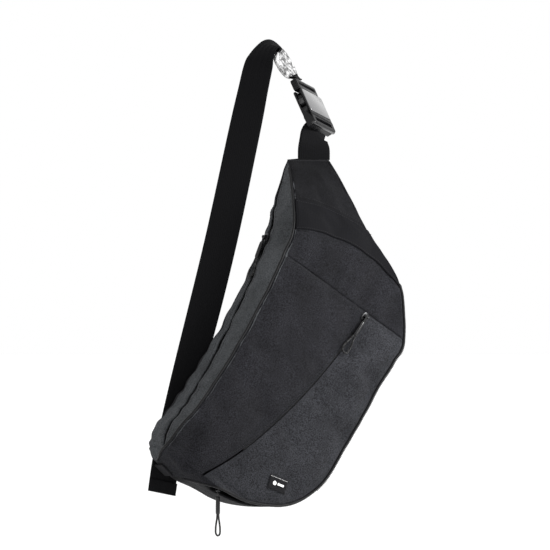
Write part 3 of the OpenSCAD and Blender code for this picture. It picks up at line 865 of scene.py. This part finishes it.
def add_pull(prefix, track, swing, body, materials):
    """A zip pull: an eye on the slider's pin, a moulded sleeve and a cord loop."""
    place = pull_frame(track, swing)
    ring = []
    for k in range(20):
        a = 2 * math.pi * k / 20
        ring.append((1.7 * MM * math.cos(a), 1.7 * MM * math.sin(a)))
    eye_points, eye_faces = extruded(ring, -1.2 * MM, 1.2 * MM)
    eye = ([turn("X", 90) @ p for p in eye_points], eye_faces)
    link = extruded(scaled([(-8.5, 0.9), (-1, 1.2), (-1, -1.2), (-8.5, -0.9)]), -0.9 * MM, 0.9 * MM)
    profile = scaled([(-7.0, 0.6), (-7.1, 1.6), (-7.8, 2.2), (-9.4, 2.45), (-14, 2.55), (-20, 2.6),
                      (-25, 2.6), (-26.8, 2.5), (-27.7, 2.2), (-28.0, 1.6), (-28.0, 0.6)])
    sleeve = lathed(profile, 28)
    points, faces = gather([eye, link, sleeve], place)
    obj = add_object(f"{prefix}_pull", mesh_of(f"{prefix}_pull", points, faces), body,
                     (f"{prefix}_zip_pull",), materials["sleeve"])
    fix_normals(obj)
    sharpen(obj.data, 50)

    curve = bpy.data.curves.new(f"{prefix}_cord", "CURVE")
    curve.dimensions = "3D"
    curve.bevel_depth = CORD_DIAMETER / 2
    curve.bevel_resolution = 4
    spline = curve.splines.new("POLY")
    route = [place @ Vector((x * MM, y * MM, 0)) for x, y in LOOP]
    spline.points.add(len(route) - 1)
    for point, at in zip(spline.points, route):
        point.co = (*at, 1)
    curve.use_fill_caps = True
    loop = add_object(f"{prefix}_cord", curve, body, (f"{prefix}_pull_cord",),
                      materials["cord"])


# ---------------------------------------------------------------- straps
WEB_W, WEB_T = 38 * MM, 1.8 * MM
# Each station is a point on a strap's middle and the direction of its width.
LONG_STATIONS = [
    ((-146, -39, -414), (0.93, -0.05, -0.35)), ((-117, -32, -342), (0.90, -0.35, -0.2)),
    ((-78, -22, -235), (0.82, -0.57, 0)), ((-38, -12, -108), (0.70, -0.72, 0)),
    ((-23, -8, -60), (0.56, -0.83, 0)), ((-14, -5, -34), (0.51, -0.86, 0)),
    ((-9, -5, -20), (0.31, -0.95, 0)), ((-2, -5, -9.5), (-0.07, -0.97, -0.22)),
    ((6.5, -4.5, -6), (-0.52, -0.82, -0.22)), ((13, -5.5, -10.5), (-0.76, -0.65, -0.04)),
    ((20.5, -9.5, -25.5), (-0.90, -0.44, 0.10)), ((28.5, -15, -40), (-0.89, -0.40, 0.19)),
    ((34.5, -21, -46), (-0.87, -0.43, 0.23)),
]
STRAP_END = len(LONG_STATIONS) - 1
TAIL_STATIONS = [
    ((-179, -44.9, -531), (0.98, 0, -0.2)), ((-172, -44.9, -492), (0.98, 0, -0.2)),
    ((-160, -44.9, -447), (0.93, 0, -0.35)),
]
# The short strap's last two stations run up behind the buckle's end bar.
SHORT_STATIONS = [
    ((28, -60, -141.5), (0.91, -0.41, 0)), ((28, -60, -131), (0.91, -0.41, 0)),
    ((29, -58.5, -120), (0.93, -0.12, -0.1)), ((31.5, -56.5, -112), (0.95, 0.03, -0.2)),
    ((36.5, -55.5, -106), (0.87, 0.43, -0.23)), ((36.5, -54.5, -100), (0.87, 0.43, -0.23)),
]


def frames(stations, low, high, step):
    """Places along a strap: point, direction, width direction and outward normal."""
    places = [(np.array(p) * MM, np.array(w, float)) for p, w in stations]
    points = [p for p, _ in places]
    widths = [w for _, w in places]
    length = sum(np.linalg.norm(b - a) for a, b in zip(points, points[1:]))
    for u in steps(low, high, step * (len(stations) - 1) / length):
        here = Vector(smooth(points, u))
        ahead = Vector(smooth(points, min(u + 0.05, len(points) - 1)))
        behind = Vector(smooth(points, max(u - 0.05, 0)))
        along = (ahead - behind).normalized()
        raw = Vector(smooth(widths, u))
        wide = (raw - along * raw.dot(along)).normalized()
        yield here, along, wide, wide.cross(along)


def add_ribbon(name, stations, body, nodes, material, width=WEB_W, thickness=WEB_T, offset=0.0,
               limits=None, step=1.1 * MM, crimp=0.10 * MM, columns=34):
    """A woven strap: rounded selvedges, and ribs that rise and fall with the weave."""
    low, high = limits or (0, len(stations) - 1)
    outline = [(k / columns, 1) for k in range(columns + 1)]
    outline += [(1 - k / columns, -1) for k in range(columns + 1)]
    n = len(outline)
    points, uvs = [], []
    run, before = 0.0, None
    for i, (here, _, wide, out) in enumerate(frames(stations, low, high, step)):
        run += (here - before).length if before else 0.0
        before = here
        for x, face in outline:
            across = (x - 0.5) * width
            edge = min(x, 1 - x) * width / (1.4 * MM)
            round_off = math.sqrt(max(0.12, 1 - max(0.0, 1 - edge) ** 2))
            rib = crimp * math.sin(2 * math.pi * across / (2.6 * MM)) * (1 if i % 2 else -1)
            height = face * (thickness / 2 * round_off + rib * (edge > 1))
            points.append(here + wide * across + out * (offset + height))
            uvs.append((across, run))
    faces = tube_faces(len(points) // n, n)
    obj = add_object(name, mesh_of(name, points, faces, uvs), body, nodes, material)
    fix_normals(obj)
    return obj


RETURN_OFFSET = -2.2 * MM


def add_film(material):
    """Crumpled clear film wrapped round the doubled end of the strap."""
    sides, points = 44, []
    half_w, high, low = WEB_W / 2 + 0.7 * MM, WEB_T / 2 + 0.5 * MM, RETURN_OFFSET - WEB_T / 2 - 0.5 * MM
    middle, half_t = (high + low) / 2, (high - low) / 2
    places = list(frames(LONG_STATIONS, STRAP_END - 2.7, STRAP_END - 0.8, 1.2 * MM))
    for i, (here, along, wide, out) in enumerate(places):
        ragged = 1.0 if i in (0, len(places) - 1) else 0.0
        for k in range(sides):
            a = 2 * math.pi * k / sides
            c, s = math.cos(a), math.sin(a)
            x = half_w * math.copysign(abs(c) ** 0.35, c)
            y = half_t * math.copysign(abs(s) ** 0.35, s)
            at = here + wide * x + out * (middle + y)
            rough = noise.noise(at * 260) * 0.9 + noise.noise(at * 620) * 0.5
            away = (wide * x + out * y * 5).normalized()
            tear = ragged * 2.5 * MM * noise.noise(at * 400 + Vector((3, 1, 5)))
            points.append(at + away * (0.3 + 0.7 * abs(rough)) * MM + along * tear)
    mesh = mesh_of("film", points, tube_faces(len(places), sides, capped=False))
    thicken(add_object("film", mesh, "strap", ("clear_film",), material), 0.08 * MM)


# ---------------------------------------------------------------- buckle
BUCKLE = (Matrix.Translation((35 * MM, -22 * MM, -47 * MM))
          @ turn("Z", 26.5) @ turn("Y", 13.4) @ turn("X", 148.5))


def joined_nodes(name, nodes):
    """One mesh of several CAD nodes that touch, with the faces between them taken away."""
    obj = bpy.data.objects.new(name, NODES[nodes[0]].data.copy())
    bpy.context.scene.collection.objects.link(obj)
    for node in nodes[1:]:
        union = obj.modifiers.new(node, "BOOLEAN")
        union.operation = "UNION"
        union.object = NODES[node]
    apply_modifiers(obj)
    mesh = obj.data
    bpy.data.objects.remove(obj)
    shape = bmesh.new()
    shape.from_mesh(mesh)
    bmesh.ops.remove_doubles(shape, verts=shape.verts, dist=0.001 * MM)
    bmesh.ops.dissolve_limit(shape, angle_limit=math.radians(3), verts=shape.verts, edges=shape.edges)
    shape.to_mesh(mesh)
    shape.free()
    mesh.materials.clear()
    return mesh


def moulding(name, nodes, body, materials, extras=(), width=0.8 * MM):
    """A moulded part: the CAD shape with its edges rounded, plus details."""
    mesh = joined_nodes(name, nodes)
    obj = add_object(name, mesh, body, nodes, materials["satin_plastic"])
    bevelled(obj, width, 3, 40)
    for suffix, shapes, material, edge in extras:
        points, faces = gather(shapes, BUCKLE)
        made = add_object(f"{name}_{suffix}", mesh_of(suffix, points, faces), body, (),
                          materials[material])
        fix_normals(made)
        bevelled(made, edge, 3, 35)
    return obj


def plate_shape(half_w, z0, z1, y0, y1, cut=2.0 * MM):
    """A plate in the buckle's own frame with cut corners, standing out along its +Y."""
    outline = [(-half_w + cut, z0), (half_w - cut, z0), (half_w, z0 + cut), (half_w, z1 - cut),
               (half_w - cut, z1), (-half_w + cut, z1), (-half_w, z1 - cut), (-half_w, z0 + cut)]
    points, faces = extruded(outline, -y1, -y0)
    return [turn("X", 90) @ p for p in points], faces


def roll_shape(half_w, y, z, radius):
    """A bar with rounded ends lying across the buckle."""
    profile = [(-half_w, radius * 0.5), (-half_w + 0.4 * MM, radius * 0.85),
               (-half_w + 1.2 * MM, radius), (half_w - 1.2 * MM, radius),
               (half_w - 0.4 * MM, radius * 0.85), (half_w, radius * 0.5)]
    points, faces = lathed(profile, 20)
    return [Matrix.Translation((0, y, z)) @ p for p in points], faces


HOUSING_NODES = ("buckle_housing", "buckle_top_plate", "buckle_bottom_plate")


def add_buckle(materials):
    top = 5.5 * MM
    cover = [plate_shape(25 * MM, 22.5 * MM, 53 * MM, s * top - 0.3 * MM * s, s * (top + 0.7 * MM))
             for s in (1, -1)]
    ridge = [plate_shape(24 * MM, 54.5 * MM, 58.5 * MM, s * top - 0.3 * MM * s, s * (top + 0.5 * MM),
                         1.2 * MM) for s in (1, -1)]
    rolls = [roll_shape(26.4 * MM, 2.6 * MM, 68.7 * MM, 2.8 * MM)]
    moulding("housing", HOUSING_NODES, "bag", materials,
             (("cover", cover, "reflection_painted_plastic", 0.5 * MM), ("ridge", ridge, "satin_plastic", 0.3 * MM),
              ("end_roll", rolls, "gloss_plastic", 0.3 * MM)))
    teeth = []
    for k in range(4):
        z = (7.0 + 3.4 * k) * MM
        for sign in (-1, 1):
            points, faces = plate_shape(1.0 * MM, z, z + 1.8 * MM, -3.2 * MM, 3.2 * MM, 0.3 * MM)
            teeth.append(([p + Vector((sign * 24.2 * MM, 0, 0)) for p in points], faces))
    bars = [roll_shape(21.5 * MM, 3.0 * MM, z * MM, 1.6 * MM) for z in (8.4, 18.2)]
    moulding("male_frame", ("buckle_male",), "strap", materials,
             (("grip_ribs", teeth, "satin_plastic", 0.25 * MM),
              ("ladder_bars", bars, "gloss_plastic", 0.2 * MM)), 0.6 * MM)
    for hand, sign in (("left", -1), ("right", 1)):
        button, button_faces = plate_shape(1.6 * MM, 33.5 * MM, 40.5 * MM, -3.1 * MM, 3.1 * MM, 1.2 * MM)
        shapes = [([p + Vector((sign * 25.2 * MM, 0, 0)) for p in button], button_faces)]
        moulding(f"{hand}_arm", (f"release_arm_{hand}",), f"arm_{hand}", materials,
                 (("button", shapes, "gloss_plastic", 0.8 * MM),), 0.7 * MM)


# ---------------------------------------------------------------- build
def add_panels(materials):
    full = lambda u: (0.0, 1.0)
    lip = 1.3 * MM
    add_panel("wing_panel", FRONT_SIDE, (0, BAND_BOTTOM), full, materials["wing"],
              ("top_wing_panel",), dips=(True, True, True, False))
    add_panel("wing_band", FRONT_SIDE, (BAND_TOP, BAND_BOTTOM), full, materials["band"],
              ("ribbed_band",), lift=2.2 * MM, dips=(True, True, False, False),
              thickness=1.7 * MM)
    add_panel("seam_panel", FRONT_SIDE, (BAND_BOTTOM, SEAM_ROW), full, materials["charcoal"],
              ("middle_panel",), dips=(True, True, False, True))
    add_panel("front_panel", FRONT_SIDE, (SEAM_ROW, LAST_ROW),
              lambda u: (0.0, max(pocket_line(u, -lip), smooth_step((u - LAST_ROW + 1.3) / 0.3))),
              materials["charcoal"], ("main_front_panel",),
              dips=(True, False, True, True))
    add_panel("lower_panel", FRONT_SIDE, (SEAM_ROW, LAST_ROW - 1),
              lambda u: (pocket_line(u, lip), 1.0), materials["pocket"], ("pocket_panel",),
              lift=-0.5 * MM, dips=(False, True, True, False))
    add_top_cap(materials["wing"])
    add_panel("back_sheet", BACK_SIDE, (0, LAST_ROW), full, materials["black"], ("back_panel",))
    slot = 0.05
    add_panel("gusset_front", LEFT_SIDE, (0.0, LAST_ROW), lambda u: (0.0, main_line(u) - slot),
              materials["heather"], ("long_gusset_front",),
              dips=(True, False, False, False), count=14)
    add_panel("gusset_back", LEFT_SIDE, (0.0, LAST_ROW), lambda u: (main_line(u) + slot, 1.0),
              materials["heather"], ("long_gusset_back",),
              dips=(False, True, False, False), count=12)
    add_panel("gusset_side", RIGHT_SIDE, (0.0, LAST_ROW),
              lambda u: (edge_line(u), 1.0),
              materials["wing"], ("side_gusset",),
              dips=(False, True, False, False), count=14)


def add_top_cap(material):
    """Closes the shell's upper end, its fabric drawn in and raised a little towards the middle."""
    ring = [skin(0.0, side, t) for side, t in ring_points()]
    middle = sum(ring, Vector()) / len(ring)
    points = ring + [p.lerp(middle, 0.5) + Vector((0, 0, 1.2 * MM)) for p in ring]
    n = len(ring)
    faces = [(k, (k + 1) % n, n + (k + 1) % n, n + k) for k in range(n)]
    faces.append(tuple(range(n, 2 * n)))
    uvs = [(p.x, p.y) for p in points]
    cap = add_object("top_cap", mesh_of("top_cap", points, faces, uvs), "bag", (),
                     material)
    fix_normals(cap)


def add_pad(material):
    """The quilted foam pad on the back, crowned between its two channels."""
    first, last, inset = SEAM_ROW, 7, 0.14
    rows, columns = 64, 44
    points, uvs = [], []
    for i in range(rows + 1):
        s = i / rows
        u = first + (last - first) * s
        for j in range(columns + 1):
            c = j / columns
            rim = min(s, 1 - s, c, 1 - c)
            crown = math.sin(min(rim / 0.12, 1) * math.pi / 2) ** 0.6
            channel = sum(math.exp(-(((s - at) / 0.018) ** 2)) for at in (1 / 3, 2 / 3))
            lift = 4.6 * MM * crown * (1 - 0.45 * channel)
            at = base_point(u, BACK_SIDE, inset + c * (1 - 2 * inset))
            points.append(at + Vector((0, lift + 0.2 * MM, 0)))
            uvs.append((c * row_width(u), s * 160 * MM))
    mesh = mesh_of("foam_pad", points, grid_faces(rows, columns), uvs)
    obj = add_object("foam_pad", mesh, "bag", ("back_pad",), material)


def add_piping(materials):
    radius = 1.5 * MM
    out = radius + 0.2 * MM

    def beside(u, side):
        return skin(u, FRONT_SIDE, 0.0 if side == LEFT_SIDE else 1.0) + outward(u, side) * out + \
            Vector((0, radius, 0))

    add_tube("long_piping", [beside(u, LEFT_SIDE) for u in steps(0.25, LAST_ROW - 0.1, 0.05)], radius,
             materials["piping"], "bag", ("front_piping",), ends=0.4)
    add_tube("curved_piping", [beside(u, RIGHT_SIDE) for u in steps(BAND_BOTTOM - 0.1, 11.75, 0.05)],
             radius * 1.1, materials["piping"], "bag", ("edge_piping",), ends=0.4)


def add_edge_band(first, last, material):
    """The edge zip's tape along the curved side, standing out between the piping and the gusset."""
    corners = [(-1.0, 3.4), (3.6, 3.4), (4.8, 4.2), (4.8, 8.0), (3.0, 12.0), (-1.0, 18.0)]
    points, uvs = [], []
    us = steps(first, last, 0.06)
    for i, u in enumerate(us):
        for k, (out, back) in enumerate(scaled(corners)):
            points.append(skin(u, FRONT_SIDE, 1.0) + outward(u, RIGHT_SIDE) * out + Vector((0, back, 0)))
            uvs.append((k * 3 * MM, i * 2.5 * MM))
    faces = tube_faces(len(us), len(corners))
    band = add_object("edge_band", mesh_of("edge_band", points, faces, uvs), "bag", (),
                      material)
    fix_normals(band)


def add_zips(materials):
    add_tape("main_tape", MAIN_TRACK, 0.8, ("main_zip_tape",), materials["black"], 6 * MM,
             height=-4.6 * MM)
    add_coil("main_coil", MAIN_TRACK, 0.8, ("main_zip_teeth",), materials["teeth"], height=-2.8 * MM)
    add_tape("pocket_tape", POCKET_TRACK, 0.8, ("pocket_zip_tape",), materials["black"], 8 * MM)
    add_coil("pocket_coil", POCKET_TRACK, 0.8, ("pocket_zip_teeth",), materials["teeth"])
    add_tape("edge_tape", EDGE_TRACK, 4, ("edge_zip_tape",), materials["black"], 4 * MM)
    add_coil("edge_coil", EDGE_TRACK, 4, ("edge_zip_teeth",), materials["teeth"])
    arc_start = 8.2
    add_edge_band(BAND_BOTTOM + 0.1, arc_start, materials["black"])
    points, faces = [], []
    reach = 5.0 * MM
    run = 0.0
    before = None
    for u in steps(BAND_BOTTOM + 0.1, arc_start, 0.004):
        at = skin(u, FRONT_SIDE, 1.0) + outward(u, RIGHT_SIDE) * reach + Vector((0, 4.5 * MM, 0))
        run += (at - before).length if before else 0.0
        if before is None or run >= 1.9 * MM:
            along = (at - (before or at + Vector((0, 0, 1)))).normalized()
            capsule(points, faces, at, outward(u, RIGHT_SIDE), along, 2.6 * MM, 0.7 * MM)
            run = 0.0
        before = at
    add_object("side_coil", mesh_of("side_coil", points, faces), "bag", ("edge_zip_side_teeth",),
               materials["teeth"])
    for prefix, track, swing in (("main", MAIN_TRACK, 0), ("pocket", POCKET_TRACK, 0),
                                 ("edge", EDGE_TRACK, 115.5)):
        add_slider(f"{prefix}_slider", track, f"{prefix}_slider", (f"{prefix}_zip_slider",),
                   materials["metal"])
        add_pull(prefix, track, swing, f"{prefix}_pull", materials)


def add_straps(materials):
    long_strap = add_ribbon("shoulder_strap", TAIL_STATIONS + LONG_STATIONS, None,
                            ("long_strap", "strap_tail"), materials["webbing"])
    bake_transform(long_strap)
    add_ribbon("strap_fold", LONG_STATIONS, "strap", ("strap_return",), materials["webbing"],
               width=WEB_W - 1 * MM, offset=RETURN_OFFSET, limits=(STRAP_END - 2, STRAP_END))
    hem = [((-176.5, -44.9, -517), (0.98, 0, -0.2)), ((-179, -44.9, -531), (0.98, 0, -0.2))]
    add_ribbon("tail_hem", hem, "bag", ("strap_tail_hem",), materials["webbing"],
               offset=-(WEB_T + 0.15 * MM))
    add_ribbon("short_web", SHORT_STATIONS, "bag", ("short_strap",), materials["webbing"],
               thickness=2 * WEB_T + 0.2 * MM)
    add_film(materials["film"])


def add_label(materials):
    place = (Matrix.Translation((-60 * MM, FRONT * MM, -521 * MM)) @ turn("X", 90) @ turn("Z", -18))
    half_w, half_h = 14 * MM, 8 * MM
    points, uvs = [], []
    columns, rows = 28, 16
    for i in range(rows + 1):
        for j in range(columns + 1):
            x, y = (2 * j / columns - 1) * half_w, (2 * i / rows - 1) * half_h
            rim = min(half_w - abs(x), half_h - abs(y))
            rise = 0.85 * MM - 0.45 * MM * math.exp(-(rim / (0.6 * MM)) ** 2)
            points.append(place @ Vector((x, y, rise + label_rise(place, x, y))))
            uvs.append((x, y))
    cloth = mesh_of("label_cloth", points, grid_faces(rows, columns), uvs)
    patch = add_object("label_cloth", cloth, "bag", ("label_patch",), materials["label"])
    thicken(patch, 0.7 * MM)
    up = (place.to_3x3() @ Vector((0, 0, 1))).normalized()

    def row_of(y):
        return [(place @ Vector((x, y, 0.95 * MM + label_rise(place, x, y))), up)
                for x in steps(-half_w + 1.2 * MM, half_w - 1.2 * MM, 1 * MM)]

    add_stitches("label_stitches", [row_of(half_h - 1.1 * MM)], materials["white_thread"],
                 pitch=1.9 * MM, length=1.2 * MM, radius=0.3 * MM)
    disc = [(-6 * MM + 2.5 * MM * math.cos(a * math.pi / 16), 2.5 * MM * math.sin(a * math.pi / 16))
            for a in range(32)]
    bar = scaled([(-1.5, -1.2), (7.5, -1.2), (7.5, 1.2), (-1.5, 1.2)])
    lift = 0.75 * MM + label_rise(place, 0, 0)
    shapes = [extruded(outline, lift, lift + 0.5 * MM) for outline in (disc, bar)]
    points, faces = gather(shapes, place)
    mark = add_object("label_emblem", mesh_of("label_emblem", points, faces), "bag", ("label_mark",),
                      materials["mark"])
    bevelled(mark, 0.12 * MM, 2)


def label_rise(place, x, y):
    """How far the fabric under the label stands out of the front plane there."""
    at = place @ Vector((x, y, 0))
    best = min(((u, t) for u in steps(7.5, 10.5, 0.1) for t in steps(0.5, 1, 0.05)),
               key=lambda ut: (base_point(ut[0], FRONT_SIDE, ut[1]) - at).length)
    return -movement(best[0], FRONT_SIDE, best[1]).y


def add_seams(materials):
    """Rows of stitching beside the seams."""
    us = lambda first, last: steps(first, last, 0.08)
    lines = [
        seam_line(FRONT_SIDE, us(SEAM_ROW + 0.1, 11.6), lambda u: pocket_line(u, -4.5 * MM), 0.05 * MM),
    ]
    for row, gap in ((SEAM_ROW, 0.09), (BAND_TOP, -0.07)):
        lines.append([(skin(row + gap, FRONT_SIDE, t, 0.1 * MM), outward(row, FRONT_SIDE))
                      for t in steps(0.01, 0.99, 0.02)])
    lines.append(seam_line(LEFT_SIDE, us(0.6, 11.8), lambda u: main_line(u) - 0.11, 0.1 * MM))
    lines.append(seam_line(LEFT_SIDE, us(1.2, 11.8), lambda u: min(0.97, main_line(u) + 0.11), 0.1 * MM))
    lines.append(seam_line(RIGHT_SIDE, us(0.4, 11.6), lambda u: 0.95, 0.1 * MM))
    add_stitches("seam_stitches", lines, materials["thread"])
    band = [[(skin(row, FRONT_SIDE, t, 2.25 * MM), outward(row, FRONT_SIDE))
             for t in steps(0.01, 0.99, 0.02)] for row in (BAND_TOP + 0.05, BAND_BOTTOM - 0.04)]
    add_stitches("band_stitches", band, materials["thread"])


# ---------------------------------------------------------------- room
def add_room():
    scene = bpy.context.scene
    world = bpy.data.worlds.new("studio")
    scene.world = world
    world.use_nodes = True
    background = world.node_tree.nodes["Background"]
    background.inputs["Color"].default_value = (1, 1, 1, 1)
    background.inputs["Strength"].default_value = 1.0
    size = 40.0
    floor_z = cad_box[0][2] - 0.05
    corners = [(-size, -size, floor_z), (size, -size, floor_z), (size, size, floor_z),
               (-size, size, floor_z)]
    floor = bpy.data.objects.new("floor", mesh_of("floor", corners, [(0, 1, 2, 3)]))
    n = Nodes("pale_floor")
    n.link(n.ramp(n.noise(3, 2.0), 0.3, 0.7, ((0.86,) * 3, (0.9,) * 3)), "Base Color")
    floor.data.materials.append(n.surface(Roughness=0.7, Emission_Color=(1, 1, 1, 1),
                                          Emission_Strength=0.2))
    scene.collection.objects.link(floor)
    middle = (Vector(cad_box[0]) + Vector(cad_box[1])) / 2
    for name, azimuth, height, distance, wide, power in (
            ("key", 35, 0.25, 0.75, 0.35, 9), ("fill", -75, 0.7, 2.4, 1.4, 6),
            ("top", -40, 2.2, 0.6, 1.0, 8)):
        data = bpy.data.lights.new(name, "AREA")
        data.size = wide
        data.energy = power
        lamp = bpy.data.objects.new(name, data)
        angle = math.radians(azimuth)
        lamp.location = middle + Vector((math.sin(angle), -math.cos(angle), 0)) * distance + \
            Vector((0, 0, height))
        lamp.rotation_euler = (middle - lamp.location).to_track_quat("-Z", "Y").to_euler()
        scene.collection.objects.link(lamp)
    scene.view_settings.view_transform = "Standard"


add_camera()
MATERIALS = make_materials()
add_straps(MATERIALS)
add_zips(MATERIALS)
add_panels(MATERIALS)
add_pad(MATERIALS["black"])
add_piping(MATERIALS)
add_seams(MATERIALS)
add_label(MATERIALS)
add_buckle(MATERIALS)
for plain_node, plain_material in (("pocket_lining", "black"), ("tip_binding", "black")):
    NODES[plain_node].data.materials.clear()
    NODES[plain_node].data.materials.append(MATERIALS[plain_material])
add_room()
